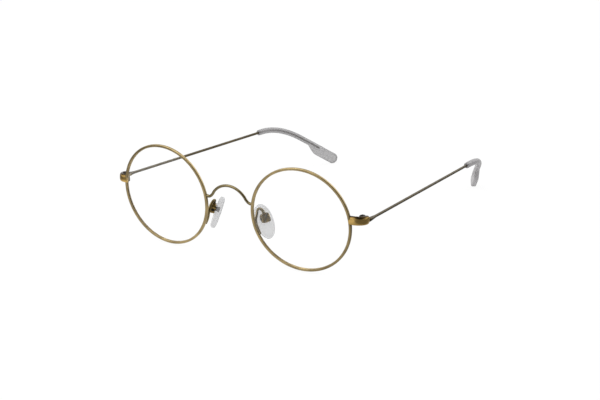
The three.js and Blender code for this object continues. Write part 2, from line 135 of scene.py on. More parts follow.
# Temples and tips
TEMPLE_X = 28.16
TEMPLE_Y = 5.65
TEMPLE_DROOP = 5.2
TEMPLE_SPREAD = 0.8
TEMPLE_WIRE = 1.2
TEMPLE_ROOT = 1.9
TEMPLE_TAPER = 6
TEMPLE_KNOTS = (2, TEMPLE_TAPER, 10, 40, 70)
TEMPLE_TO_TIP = 96.3
ROOT_SWELL = (0.86, 1, 0.93)
WIRE_START_KNOTS = (0, 0.5)
WIRE_END_KNOTS = (1, 0.3, 0)
TIP_TO_BEND = 17.1
TIP_BEND_RADIUS = 38
BEND_LEAD = 4
BEND_RUN_OUT = 1.5
BEND_STEPS = 12
TIP_DROP = 31
TIP_TURN = 29.5
TIP_REACH = 38.5
TIP_TUBE = 2.8
SLEEVE_START_SWELL = (0.84, 0.97)
SLEEVE_END_SWELL = (1, 0.85, 0.5)
CORE_WIRE = 0.9
CORE_REACH = 26.5
CORE_END_SWELL = 0.6
PADDLE_START = 16.1
PADDLE_FLARE = 10.5
PADDLE_FLARE_STEPS = 12
PADDLE_WIDTH = 5.4
PADDLE_SINK = 0.08
PADDLE_THICKNESS = 2.4
PADDLE_INSIDE = 1
PADDLE_END_STEP = 9
PADDLE_ROUNDING = 0.7

# Nose pads
PAD_LENGTH = 15.2
PAD_WIDTH = 8
PAD_THICKNESS = 2.4
PAD_SIDES = 64
PAD_EDGE_SHARE = 0.86
PAD_RINGS = ((0.75, 1.1), (0.6, 1.04), (0.4, 1.01))
PAD_RING_INSET = 0.05
PAD_ROUNDING = 0.8
PAD_DROP = 1.5
PAD_PLANE = -2.55
PAD_SPLAY = 36
PAD_LEAN = 27
PAD_ROLL = 8
PAD_PIVOT = (-20.535, 6.3, -4.4)
BOX_WIDTH = 3.7
BOX_HEIGHT = 4
BOX_FRONT = -0.95
BOX_BACK = 1.46
BOX_CORNER = 1.1
BOX_DOME = 0.3
BOX_DOME_INSET = 0.75
BOX_ROUNDING = 0.3
MOUTH_AHEAD = 1
MOUTH_SIDE_GAP = 0.15
MOUTH_END_GAP = 0.45
MOUTH_FLOOR_GAP = 0.2
PAD_SCREW_HEAD = 1.5
PAD_SCREW_HEAD_HEIGHT = 0.4
PAD_SCREW = 0.84
INSERT_LENGTH = 1.9
INSERT_WIDTH = 1.8
INSERT_THICKNESS = 0.7
INSERT_ROUNDING = 0.2
TONGUE_WIDTH = 1
TONGUE_HEIGHT = 1.6
TONGUE_END = 0.75
TONGUE_ROUNDING = 0.15
ARM_WIRE = 1.1
ARM_SEAT_ANGLES = (207, 199.5, 192)
ARM_SEAT_BACK = 1.45
ARM_LOOP = ((-22.3, 2.7, -1.9), (-22.6, 4.4, -0.25), (-22.25, 5.8, -0.5))
ARM_RISE = 0.5
ARM_SINK = 0.3
ARM_SWELL = (0.8, 1.1, 1.1, 1, 1, 1.05, 1.2, 1.35)

# All screws
SCREW_EDGE_SHARE = 0.35
SCREW_DOME_STEPS = 8
SCREW_STEPS = 32
SLOT_SHARE = 0.16
SLOT_DEPTH = 0.3

ROUNDNESS = LENS_HEIGHT / LENS_WIDTH
# Points nearer to each other than this are one point
MERGE_REACH = 0.002
# A face looks along an axis when more than this share of its normal lies along it
FACING = 0.9


def rad(degrees):
    return math.radians(degrees)


def metres(point):
    return Vector(point) * MM


def turn(degrees, axis):
    return Matrix.Rotation(rad(degrees), 4, axis)


def shift(*millimetres):
    return Matrix.Translation(metres(millimetres))


# Places, for the left side: the front, the eye in it, and the hinge, temple and pad in the eye
lean = math.degrees(math.asin(-frame["joints"][0]["axis"][1]))
low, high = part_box("left_rim")
eye_centre = (low + high) / 2
front_place = Matrix.Translation((0, eye_centre.y, eye_centre.z)) @ turn(lean, "X")
eye_place = Matrix.Translation(eye_centre) @ turn(lean, "X") @ turn(FACE_WRAP, "Z")
hinge_place = eye_place @ shift(HINGE_X, END_RADIUS, HINGE_LEVEL)
temple_place = (eye_place @ shift(TEMPLE_X, TEMPLE_Y, HINGE_LEVEL)
                @ turn(-TEMPLE_DROOP, "X") @ turn(-TEMPLE_SPREAD, "Z"))
tip_place = shift(0, TEMPLE_TO_TIP + TIP_TO_BEND, 0) @ turn(TIP_TURN, "Z") @ turn(-TIP_DROP, "X")
pad_in_eye = shift(*PAD_PIVOT) @ turn(-PAD_LEAN, "Y") @ turn(-PAD_SPLAY, "Z") @ turn(-PAD_ROLL, "X")
pad_place = eye_place @ pad_in_eye


# Modelling steps
def start_fresh():
    """Goes back to object mode with nothing selected."""
    if bpy.context.mode != "OBJECT":
        bpy.ops.object.mode_set(mode="OBJECT")
    bpy.ops.object.select_all(action="DESELECT")


def take(piece):
    """Makes a piece the only one selected."""
    start_fresh()
    piece.select_set(True)
    bpy.context.view_layer.objects.active = piece
    return piece


def edit(piece, choose="NONE"):
    """Opens a piece in edit mode with nothing or everything selected."""
    take(piece)
    bpy.ops.object.mode_set(mode="EDIT")
    bpy.ops.mesh.select_mode(type="FACE")
    bpy.ops.mesh.select_all(action="SELECT" if choose == "ALL" else "DESELECT")


def pick_faces(piece, test):
    """Selects the faces whose normal and middle, in millimetres, pass a test."""
    bpy.ops.object.mode_set(mode="OBJECT")
    for face in piece.data.polygons:
        face.select = test(face.normal, face.center / MM)
    bpy.ops.object.mode_set(mode="EDIT")


def pick_edges(piece, test):
    """Selects the edges whose two ends, in millimetres, pass a test."""
    bpy.ops.mesh.select_mode(type="EDGE")
    bpy.ops.object.mode_set(mode="OBJECT")
    for line in piece.data.edges:
        start, end = (piece.data.vertices[index].co / MM for index in line.vertices)
        line.select = test(start, end)
    bpy.ops.object.mode_set(mode="EDIT")


def outward(piece):
    """Merges doubles and turns all faces outwards."""
    edit(piece, "ALL")
    bpy.ops.mesh.remove_doubles(threshold=MERGE_REACH * MM)
    bpy.ops.mesh.normals_make_consistent(inside=False)
    start_fresh()
    return piece


def settle(piece):
    """Puts an object's place into its mesh."""
    take(piece)
    bpy.ops.object.transform_apply(location=True, rotation=True, scale=True)
    return piece


def placed(piece, place):
    """Moves a piece to a place."""
    piece.matrix_world = place
    return settle(piece)


def stretched(piece, x, y, z):
    """Scales a piece about the origin."""
    edit(piece, "ALL")
    bpy.ops.transform.resize(value=(x, y, z), center_override=(0, 0, 0))
    start_fresh()
    return piece


def modified(piece, kind, **settings):
    """Adds a modifier with its settings and applies it."""
    take(piece)
    bpy.ops.object.modifier_add(type=kind)
    modifier = piece.modifiers[-1]
    for name, value in settings.items():
        setattr(modifier, name, value)
    bpy.ops.object.modifier_apply(modifier=modifier.name)
    return piece


def rounded(piece, width, segments=3, angle=40):
    """Rounds the edges that bend by more than an angle."""
    return modified(piece, "BEVEL", width=width * MM, segments=segments,
                    limit_method="ANGLE", angle_limit=rad(angle))


def combined(piece, tool, operation):
    """Joins or cuts a piece with another one, which is used up."""
    modified(piece, "BOOLEAN", operation=operation, object=tool, solver="EXACT")
    bpy.data.objects.remove(tool)
    return piece


def block(low, high):
    """A box between two corners."""
    low, high = Vector(low), Vector(high)
    start_fresh()
    bpy.ops.mesh.primitive_cube_add(
        size=1, location=metres((low + high) / 2), scale=metres(high - low))
    return settle(bpy.context.object)


def chain(points):
    """A line of edges, drawn out vertex by vertex."""
    start_fresh()
    bpy.ops.mesh.primitive_plane_add(size=MM, location=metres(points[0]))
    piece = settle(bpy.context.object)
    edit(piece, "ALL")
    bpy.ops.mesh.select_mode(type="VERT")
    bpy.ops.mesh.merge(type="CENTER")
    for here, there in zip(points, points[1:]):
        step = metres(there) - metres(here)
        bpy.ops.mesh.extrude_vertices_move(TRANSFORM_OT_translate={"value": step})
    return piece


def face_within(outline):
    """A closed outline filled with a face, which stays selected in edit mode."""
    piece = chain([*outline, outline[0]])
    bpy.ops.mesh.select_all(action="SELECT")
    bpy.ops.mesh.remove_doubles(threshold=MERGE_REACH * MM)
    bpy.ops.mesh.edge_face_add()
    return piece


def draw_out(step):
    """Extrudes what is selected by a step in millimetres."""
    bpy.ops.mesh.extrude_region_move(TRANSFORM_OT_translate={"value": metres(step)})


def turned(points, axis, steps, degrees=360):
    """A profile spun about an axis through the origin, with any open ends filled."""
    piece = chain(points)
    bpy.ops.mesh.select_all(action="SELECT")
    bpy.ops.mesh.spin(steps=steps, angle=rad(degrees), center=(0, 0, 0), axis=axis)
    outward(piece)
    edit(piece, "ALL")
    bpy.ops.mesh.fill_holes(sides=0)
    return outward(piece)


def plate(outline, thickness):
    """A flat outline in the YZ plane, filled and thickened about that plane."""
    piece = face_within(outline)
    draw_out((thickness, 0, 0))
    outward(piece)
    return placed(piece, shift(-thickness / 2, 0, 0))


def wire(points, diameter, swell):
    """A bent wire through points, with its thickness at each point as a share of the diameter."""
    start_fresh()
    bpy.ops.curve.primitive_bezier_curve_add(location=(0, 0, 0))
    path = bpy.context.object
    path.data.bevel_depth = diameter / 2 * MM
    path.data.bevel_resolution = 6
    path.data.resolution_u = 8
    path.data.use_fill_caps = True
    knots = path.data.splines[0].bezier_points
    knots.add(len(points) - len(knots))
    for knot, point, share in zip(knots, points, swell):
        knot.co = metres(point)
        knot.handle_left_type = "AUTO"
        knot.handle_right_type = "AUTO"
        knot.radius = share
    bpy.ops.object.convert(target="MESH")
    return outward(bpy.context.object)


def smooth(piece, angle=35):
    """Shades a piece smooth, apart from the edges that bend by more than an angle."""
    take(piece)
    bpy.ops.object.shade_smooth_by_angle(angle=rad(angle))
    return piece


def mirrored(piece):
    """A copy for the right side, with its own mesh."""
    take(piece)
    bpy.ops.object.duplicate(linked=False)
    copy = stretched(bpy.context.object, -1, 1, 1)
    edit(copy, "ALL")
    bpy.ops.mesh.flip_normals()
    start_fresh()
    return copy


def dress(piece, name, body, nodes, finish):
    """Names a finished piece, gives it its material and hands it to the frame."""
    piece.name = name
    piece.data.name = name
    piece.data.materials.clear()
    piece.data.materials.append(finish)
    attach(piece, body)
    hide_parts(*nodes)


def pair(piece, name, body, node, finish):
    """Dresses the left piece and its mirror image on the right."""
    smooth(piece)
    both = {"left": piece, "right": mirrored(piece)}
    for side, copy in both.items():
        dress(copy, f"{side}_{name}", body.format(side=side), [f"{side}_{node}"], finish)
    return both.values()


# Materials. Real satin grain is too fine to show in the render, so it is drawn as coarse as it needs to show
METAL_GRAIN = 0.3
NYLON_GRAIN = 0.4
WORN_PATCH = 5
NOISE_DETAIL = 3
CORNER_REACH = 1.2
GRAIN_HEIGHT = 0.02


def linear(colour):
    """An sRGB hex colour as linear values."""
    parts = [int(colour[place:place + 2], 16) / 255 for place in (1, 3, 5)]
    return [*((part / 12.92 if part <= 0.04045 else ((part + 0.055) / 1.055) ** 2.4) for part in parts), 1]


def noise_scale(spot):
    """The scale of a noise with spots of about a size in millimetres."""
    return 1 / (spot * MM)


def add(tree, kind, inputs=None, **settings):
    """Adds a node with its settings, and sets or links its inputs."""
    node = tree.nodes.new("ShaderNode" + kind)
    for name, value in settings.items():
        setattr(node, name, value)
    for name, value in (inputs or {}).items():
        if isinstance(value, bpy.types.NodeSocket):
            tree.links.new(value, node.inputs[name])
        else:
            node.inputs[name].default_value = value
    return node


def new_finish(name):
    """An empty material and its node tree."""
    finish = bpy.data.materials.new(name)
    finish.use_nodes = True
    finish.node_tree.nodes.clear()
    return finish, finish.node_tree


def antique_brass(name, rubbed, patina, satin=0.31, least=0.3, patina_and_shade_in=None):
    """Brass plating darkened by hand: golden where it was rubbed, brown where the patina stayed.

    The gloss is satin. Small fittings keep the patina in the corners that rubbing does not reach;
    found by occlusion, it is also painted shade there. Faces of the end pieces that look upwards
    take the patina colour as painted shade.
    """
    finish, tree = new_finish(name)
    place = add(tree, "TexCoord").outputs
    grain = add(tree, "TexNoise", {
        "Vector": place["Object"], "Scale": noise_scale(METAL_GRAIN), "Detail": NOISE_DETAIL}).outputs["Fac"]
    patches = add(tree, "TexNoise", {
        "Vector": place["Object"], "Scale": noise_scale(WORN_PATCH), "Detail": NOISE_DETAIL}).outputs["Fac"]
    worn = add(tree, "MapRange", {"Value": patches, "From Min": 0.3, "From Max": 0.7, "To Min": least})
    share = worn.outputs["Result"]
    # In the corners the patina stays, found by occlusion, so it also paints the shade that falls there.
    if patina_and_shade_in == "corners":
        open_sky = add(tree, "AmbientOcclusion", {"Distance": CORNER_REACH * MM}, samples=8)
        reach = add(tree, "MapRange", {"Value": open_sky.outputs["AO"], "From Min": 0.3, "From Max": 0.9})
    # Painted shade: faces that look upwards take the patina colour.
    if patina_and_shade_in == "shaded_tops":
        facing = add(tree, "SeparateXYZ", {"Vector": place["Normal"]})
        reach = add(tree, "MapRange", {
            "Value": facing.outputs["Z"], "From Min": 0.2, "From Max": 0.6, "To Min": 1.0, "To Max": 0.0})
    if patina_and_shade_in:
        rubbed_share_left = add(tree, "Math", {0: share, 1: reach.outputs["Result"]}, operation="MULTIPLY")
        share = rubbed_share_left.outputs["Value"]
    colour = add(tree, "Mix", {"Factor": share, "A": linear(patina), "B": linear(rubbed)}, data_type="RGBA")
    gloss = add(tree, "MapRange", {"Value": grain, "To Min": satin - 0.04, "To Max": satin + 0.04})
    bump = add(tree, "Bump", {"Height": grain, "Strength": 0.04, "Distance": GRAIN_HEIGHT * MM})
    shader = add(tree, "BsdfPrincipled", {
        "Base Color": colour.outputs["Result"], "Metallic": 1.0, "Roughness": gloss.outputs["Result"],
        "Normal": bump.outputs["Normal"]})
    add(tree, "OutputMaterial", {"Surface": shader.outputs["BSDF"]})
    return finish


def black_steel():
    """Blackened steel screws: nearly black with a soft oily gloss."""
    finish, tree = new_finish("blackened_steel")
    place = add(tree, "TexCoord").outputs["Object"]
    grain = add(tree, "TexNoise", {
        "Vector": place, "Scale": noise_scale(METAL_GRAIN), "Detail": NOISE_DETAIL}).outputs["Fac"]
    colour = add(tree, "Mix", {
        "Factor": grain, "A": linear("#1E1A16"), "B": linear("#37322C")}, data_type="RGBA")
    gloss = add(tree, "MapRange", {"Value": grain, "To Min": 0.25, "To Max": 0.45})
    shader = add(tree, "BsdfPrincipled", {
        "Base Color": colour.outputs["Result"], "Metallic": 1.0, "Roughness": gloss.outputs["Result"]})
    add(tree, "OutputMaterial", {"Surface": shader.outputs["BSDF"]})
    return finish


def see_through(name, pale, dense, cloudiness, face_on, edge_on, gloss, bend, edge_share=0.5):
    """A clear or cloudy plastic: what is behind it shows, less so where it is seen along its surface."""
    finish, tree = new_finish(name)
    place = add(tree, "TexCoord").outputs["Object"]
    spots = add(tree, "TexNoise", {
        "Vector": place, "Scale": noise_scale(cloudiness), "Detail": NOISE_DETAIL}).outputs["Fac"]
    colour = add(tree, "Mix", {"Factor": spots, "A": linear(dense), "B": linear(pale)}, data_type="RGBA")
    roughness = add(tree, "MapRange", {"Value": spots, "To Min": gloss * 0.8, "To Max": gloss * 1.2})
    edge = add(tree, "LayerWeight", {"Blend": edge_share}).outputs["Facing"]
    cover = add(tree, "MapRange", {"Value": edge, "To Min": face_on, "To Max": edge_on})
    shader = add(tree, "BsdfPrincipled", {
        "Base Color": colour.outputs["Result"], "Roughness": roughness.outputs["Result"], "IOR": bend,
        "Alpha": cover.outputs["Result"]})
    add(tree, "OutputMaterial", {"Surface": shader.outputs["BSDF"]})
    return finish


def dark_nylon():
    """Dark moulded nylon inside the pad: matt, with a faint grain."""
    finish, tree = new_finish("dark_moulded_nylon")
    place = add(tree, "TexCoord").outputs["Object"]
    grain = add(tree, "TexNoise", {
        "Vector": place, "Scale": noise_scale(NYLON_GRAIN), "Detail": NOISE_DETAIL}).outputs["Fac"]
    colour = add(tree, "Mix", {
        "Factor": grain, "A": linear("#35302A"), "B": linear("#4A443C")}, data_type="RGBA")
    shader = add(tree, "BsdfPrincipled", {"Base Color": colour.outputs["Result"], "Roughness": 0.55})
    add(tree, "OutputMaterial", {"Surface": shader.outputs["BSDF"]})
    return finish


rim_brass = antique_brass("antique_brass_rims", "#AD996E", "#6F6146", satin=0.28)
bridge_brass = antique_brass("antique_brass_bridge", "#7A6E50", "#665B41")
# The end pieces are golden, with painted shade in the patina colour along their upper faces.
end_brass = antique_brass("antique_brass_end_pieces", "#DAB56C", "#3A2C14",
                          satin=0.22, least=0.75, patina_and_shade_in="shaded_tops")
# The temples and rim clamps take a darker copy of the same plating: painted shade.
shaded_temple_brass = antique_brass("antique_brass_temples_painted_shade", "#564C37", "#373023")
# Hinges and pad arms take a darker copy of the brass, painted shade for where they sit behind the rim.
shaded_fitting_brass = antique_brass("antique_brass_fittings_painted_shade", "#86764F", "#42361F", patina_and_shade_in="corners")
holder_brass = antique_brass("antique_brass_pad_holders", "#B4975A", "#4A3C20", patina_and_shade_in="corners")
steel = black_steel()
nylon = dark_nylon()
# The lens is almost unseen, with a faint reflection; the tips are smoky, and the pads milky
resin = see_through("clear_lens_resin", pale="#FFFFFF", dense="#F4F8F8", cloudiness=9,
                    face_on=0.015, edge_on=0.08, gloss=0.05, bend=1.5)
grey_plastic = see_through("translucent_grey_plastic", pale="#979596", dense="#8E8C8D", cloudiness=6,
                           face_on=0.42, edge_on=0.95, gloss=0.32, bend=1.48, edge_share=0.7)
silicone = see_through("clear_silicone_rubber", pale="#BABABC", dense="#B0B0B2", cloudiness=4,
                       face_on=0.36, edge_on=0.62, gloss=0.3, bend=1.41)


# Rims and lenses
def corner(x, y, radius, first):
    """A quarter circle of a rim section, from a direction on."""
    turns = [rad(first + 90 * step / RIM_CORNER_STEPS) for step in range(RIM_CORNER_STEPS + 1)]
    return [(x + radius * math.cos(angle), y + radius * math.sin(angle), 0) for angle in turns]


def rim_wire():
    """A wire with a lens groove, spun round the eye from one lip of its split to the other."""
    inner, outer = RIM_MIDDLE - RIM_FACE / 2, RIM_MIDDLE + RIM_FACE / 2
    half = RIM_DEPTH / 2
    section = [
        *corner(inner + RIM_LIP, -half + RIM_LIP, RIM_LIP, 180),
        *corner(outer - RIM_ROUNDING, -half + RIM_ROUNDING, RIM_ROUNDING, 270),
        *corner(outer - RIM_ROUNDING, half - RIM_ROUNDING, RIM_ROUNDING, 0),
        *corner(inner + RIM_LIP, half - RIM_LIP, RIM_LIP, 90),
        (inner, GROOVE_MOUTH / 2, 0),
        (inner + RIM_GROOVE, GROOVE_FLOOR / 2, 0),
        (inner + RIM_GROOVE, -GROOVE_FLOOR / 2, 0),
        (inner, -GROOVE_MOUTH / 2, 0)]
    gap = math.degrees(RIM_SPLIT / RIM_MIDDLE)
    upper_lip = math.degrees((SPLIT_HEIGHT + RIM_SPLIT / 2) / RIM_MIDDLE / ROUNDNESS)
    ring = turned([*section, section[0]], (0, 1, 0), RIM_STEPS, 360 - gap)
    return stretched(placed(ring, turn(-upper_lip, "Y")), 1, 1, ROUNDNESS)


def lens():
    """A thin meniscus with a bevelled edge that sits in the rim's groove."""
    tip = LENS_WIDTH / 2
    shoulder = tip - BEVEL_DEPTH
    shares = [ring / LENS_RINGS for ring in range(LENS_RINGS + 1)]
    front = [(shoulder * share, -BEVEL_BASE / 2 - LENS_BULGE * (1 - share ** 2), 0) for share in shares]
    back = [(x, y + BEVEL_BASE, 0) for x, y, _ in reversed(front)]
    edge = [(tip, -BEVEL_TIP / 2, 0), (tip, BEVEL_TIP / 2, 0)]
    return stretched(turned([*front, *edge, *back], (0, 1, 0), LENS_STEPS), 1, 1, ROUNDNESS)


pair(placed(rim_wire(), eye_place), "rim_wire", "front", "rim", rim_brass)
for glass in pair(placed(lens(), eye_place), "lens_glass", "front", "lens", resin):
    glass.visible_shadow = False


# Bridge
def bridge():
    """An arched wire with short feet, thickened by the solder at its ends."""
    reach = RIM_MIDDLE * math.sqrt(1 - (BRIDGE_FOOT / (RIM_MIDDLE * ROUNDNESS)) ** 2)
    seat_x = eye_centre.x / MM - reach * math.cos(rad(FACE_WRAP))
    seat_y = BRIDGE_BACK - reach * math.sin(rad(FACE_WRAP))
    middle = BRIDGE_APEX - BRIDGE_RADIUS
    lowest = math.degrees(math.asin((BRIDGE_FOOT - middle) / BRIDGE_RADIUS))
    corner_x = BRIDGE_RADIUS * math.cos(rad(lowest))
    foot = [(seat_x + (corner_x - seat_x) * share, seat_y, BRIDGE_FOOT) for share in BRIDGE_FOOT_SHARES]
    arch = []
    first = lowest + BRIDGE_CORNER
    for step in range(BRIDGE_STEPS + 1):
        angle = rad(first + (180 - 2 * first) * step / BRIDGE_STEPS)
        arch.append((BRIDGE_RADIUS * math.cos(angle), seat_y, middle + BRIDGE_RADIUS * math.sin(angle)))
    far_foot = [(-x, y, z) for x, y, z in reversed(foot)]
    swell = [*BRIDGE_SOLDER, *[1] * len(arch), *reversed(BRIDGE_SOLDER)]
    return wire([*foot, *arch, *far_foot], BRIDGE_WIRE, swell)


bridge_wire = smooth(placed(bridge(), front_place))
dress(bridge_wire, "bridge_wire", "front", ["bridge"], bridge_brass)


# End pieces
def end_section(x):
    """The outline across an end piece: flat towards the hinge and domed on the outside."""
    inner, half = END_THICKNESS / 2, END_HEIGHT / 2
    crown = END_THICKNESS - END_LIP
    dome = []
    for step in range(-END_DOME_STEPS, END_DOME_STEPS + 1):
        angle = rad(90 * step / END_DOME_STEPS)
        rise = math.copysign(abs(math.sin(angle)) ** END_DOME, -angle)
        dome.append((x, inner - END_LIP - crown * math.cos(angle) ** END_DOME, END_LEVEL + half * rise))
    lips = [(x, inner, END_LEVEL + side * (half - END_LIP)) for side in (-1, 1)]
    return [*dome, *lips]


def round_off(outwards, rounding):
    """Draws the selected end face out while its height closes in along a quarter circle."""
    height = END_HEIGHT / 2
    quarter = [rad(90 * step / END_ROUND_STEPS) for step in range(END_ROUND_STEPS + 1)]
    for before, after in zip(quarter, quarter[1:]):
        draw_out(Vector(outwards) * rounding * (math.sin(after) - math.sin(before)))
        lower = height - rounding * (math.cos(before) - math.cos(after))
        bpy.ops.transform.resize(value=(1, 1, lower / height), center_override=metres((0, 0, END_LEVEL)))
        height = lower


def end_plate():
    """A domed bar: out from the rim, round the corner and back to the temple, with both ends rounded."""
    start = END_START + END_START_ROUNDING
    piece = face_within(end_section(start))
    draw_out((END_CORNER_X - start, 0, 0))
    centre = metres((END_CORNER_X, END_RADIUS, END_LEVEL))
    bpy.ops.mesh.spin(steps=END_CORNER_STEPS, angle=rad(90), center=centre, axis=(0, 0, -1))
    draw_out((0, END_TAIL - END_TAIL_ROUNDING, 0))
    round_off((0, 1, 0), END_TAIL_ROUNDING)
    outward(piece)
    edit(piece)
    pick_faces(piece, lambda normal, middle: normal.x < -FACING and middle.x < start + MERGE_REACH)
    round_off((-1, 0, 0), END_START_ROUNDING)
    return outward(piece)


end_place = eye_place @ shift(0, 0, END_LEVEL) @ turn(-END_DROOP, "X") @ shift(0, 0, -END_LEVEL)
pair(placed(end_plate(), end_place), "end_plate", "front", "end_piece", end_brass)


# Screws and rim clamps
def screw(head, height, shank, length):
    """A domed, slotted head standing on the origin, with its shank hanging down."""
    dome = []
    for step in range(SCREW_DOME_STEPS + 1):
        angle = rad(90 * step / SCREW_DOME_STEPS)
        rise = SCREW_EDGE_SHARE + (1 - SCREW_EDGE_SHARE) * math.cos(angle)
        dome.append((head / 2 * math.sin(angle), 0, height * rise))
    profile = [*dome, (head / 2, 0, 0), (shank / 2, 0, 0), (shank / 2, 0, -length), (0, 0, -length)]
    half_slot = head * SLOT_SHARE / 2
    slot_floor = height - min(SLOT_DEPTH, height / 2)
    slot = block((-half_slot, -head, slot_floor), (half_slot, head, height + SLOT_DEPTH))
    return combined(turned(profile, (0, 0, 1), SCREW_STEPS), slot, "DIFFERENCE")


stack = 3 * KNUCKLE_HEIGHT + 2 * KNUCKLE_GAP
hinge_screw = screw(HINGE_HEAD, HINGE_HEAD_HEIGHT, HINGE_PIN, stack + KNUCKLE_GAP)
pair(placed(hinge_screw, hinge_place @ shift(0, 0, stack / 2 + KNUCKLE_GAP)),
     "domed_hinge_screw", "front", "hinge_screw", steel)

clamp_top = SPLIT_HEIGHT + CLAMP_GAP / 2
clamp_bottom = SPLIT_HEIGHT - CLAMP_GAP / 2 - CLAMP_HEIGHT
for name, level in (("upper", clamp_top), ("lower", clamp_bottom)):
    clamp = block((CLAMP_X - CLAMP_WIDTH / 2, CLAMP_FRONT, level),
                  (CLAMP_X + CLAMP_WIDTH / 2, CLAMP_BACK, level + CLAMP_HEIGHT))
    pair(placed(rounded(clamp, CLAMP_ROUNDING, segments=4), eye_place),
         f"rim_clamp_{name}", "front", f"closing_block_{name}", shaded_temple_brass)
clamp_screw = screw(CLAMP_HEAD, CLAMP_HEAD_HEIGHT, CLAMP_SHANK, 2 * CLAMP_HEIGHT + CLAMP_GAP)
pair(placed(clamp_screw, eye_place @ shift(CLAMP_X, CLAMP_SCREW_Y, clamp_bottom) @ turn(180, "X")),
     "rim_clamp_screw", "front", "closing_screw", steel)


# Hinges
def knuckle(bottom):
    """One barrel of the hinge, with softened ends."""
    start_fresh()
    bpy.ops.mesh.primitive_cylinder_add(
        vertices=BARREL_SIDES, radius=BARREL / 2 * MM, depth=KNUCKLE_HEIGHT * MM,
        location=metres((0, 0, bottom + KNUCKLE_HEIGHT / 2)))
    return rounded(settle(bpy.context.object), BARREL_ROUNDING)


def front_leaf():
    """Two knuckles, each with a web that is soldered to the inside of the end piece."""
    leaf = None
    for bottom in (-stack / 2, stack / 2 - KNUCKLE_HEIGHT):
        web = block((-WEB_WIDTH / 2, -WEB_REACH, bottom + WEB_INSET),
                    (WEB_WIDTH / 2, 0, bottom + KNUCKLE_HEIGHT - WEB_INSET))
        web = placed(rounded(web, WEB_ROUNDING, segments=2), turn(WEB_TURN, "Z"))
        half = combined(knuckle(bottom), web, "UNION")
        leaf = combined(leaf, half, "UNION") if leaf else half
    return leaf


def temple_leaf():
    """One knuckle on a plate that is soldered to the temple's root."""
    outer = TEMPLE_X - HINGE_X - TEMPLE_ROOT / 2 + LEAF_SINK
    half = KNUCKLE_HEIGHT / 2 - LEAF_INSET
    strip = block((outer - LEAF_THICKNESS, 0, -half), (outer, LEAF_LENGTH, half))
    return combined(knuckle(-KNUCKLE_HEIGHT / 2), rounded(strip, LEAF_ROUNDING), "UNION")


pair(placed(front_leaf(), hinge_place),
     "hinge_knuckles", "front", "hinge_front_leaf", shaded_fitting_brass)
pair(placed(temple_leaf(), hinge_place),
     "hinge_tongue", "{side}_temple", "hinge_temple_leaf", shaded_fitting_brass)


# Temples and tips
def temple_points(start, end):
    """Points along the temple: straight to the bend, round it, and on towards the paddle."""
    bend = Vector((0, TEMPLE_TO_TIP + TIP_TO_BEND, 0))
    onward = tip_place.to_3x3() @ Vector((0, 1, 0))
    tangent = TIP_BEND_RADIUS * math.tan(math.acos(onward.y) / 2)
    before = bend - Vector((0, tangent, 0))
    after = bend + onward * tangent
    points = [Vector((0, start + along, 0)) for along in WIRE_START_KNOTS]
    if start < TEMPLE_TAPER:
        points += [Vector((0, along, 0)) for along in (*TEMPLE_KNOTS, before.y - BEND_LEAD)]
    for step in range(BEND_STEPS + 1):
        share = step / BEND_STEPS
        points.append(before * (1 - share) ** 2 + bend * 2 * share * (1 - share) + after * share ** 2)
    points.append(after + onward * BEND_RUN_OUT)
    points += [bend + onward * (end - short) for short in WIRE_END_KNOTS]
    return points


def temple_wire():
    """A wire with a thicker root, drawn thinner where it runs on as the core of the tip."""
    route = temple_points(0, CORE_REACH)
    core = CORE_WIRE / TEMPLE_WIRE
    swell = [TEMPLE_ROOT / TEMPLE_WIRE * share for share in ROOT_SWELL]
    swell += [1] * len(TEMPLE_KNOTS)
    swell += [core] * (len(route) - len(swell) - 1)
    swell.append(core * CORE_END_SWELL)
    return wire(route, TEMPLE_WIRE, swell)


def tip_sleeve():
    """A moulded sleeve over the wire, flattened out below into a paddle with a round end."""
    route = temple_points(TEMPLE_TO_TIP, CORE_REACH + TIP_TUBE)
    even = len(route) - len(SLEEVE_START_SWELL) - len(SLEEVE_END_SWELL)
    sleeve = wire(route, TIP_TUBE, [*SLEEVE_START_SWELL, *[1] * even, *SLEEVE_END_SWELL])
    top = TIP_TUBE / 2 - PADDLE_SINK
    bottom = TIP_TUBE / 2 - PADDLE_WIDTH
    outline = [(0, PADDLE_START, top), (0, PADDLE_START, 0)]
    for step in range(1, PADDLE_FLARE_STEPS + 1):
        share = step / PADDLE_FLARE_STEPS
        ease = share * share * (3 - 2 * share)
        outline.append((0, PADDLE_START + PADDLE_FLARE * share, bottom * ease))
    end_middle = TIP_REACH - PADDLE_WIDTH / 2
    for degrees in range(-90, 91, PADDLE_END_STEP):
        outline.append((0, end_middle + PADDLE_WIDTH / 2 * math.cos(rad(degrees)),
                        (top + bottom) / 2 + (top - bottom) / 2 * math.sin(rad(degrees))))
    paddle = rounded(plate(outline, PADDLE_THICKNESS), PADDLE_ROUNDING, segments=5, angle=50)
    outwards = shift(PADDLE_THICKNESS / 2 - PADDLE_INSIDE, 0, 0)
    return combined(sleeve, placed(paddle, tip_place @ outwards), "UNION")


pair(placed(temple_wire(), temple_place),
     "temple_wire", "{side}_temple", "temple", shaded_temple_brass)
pair(placed(tip_sleeve(), temple_place),
     "tip_sleeve", "{side}_temple", "temple_tip", grey_plastic)


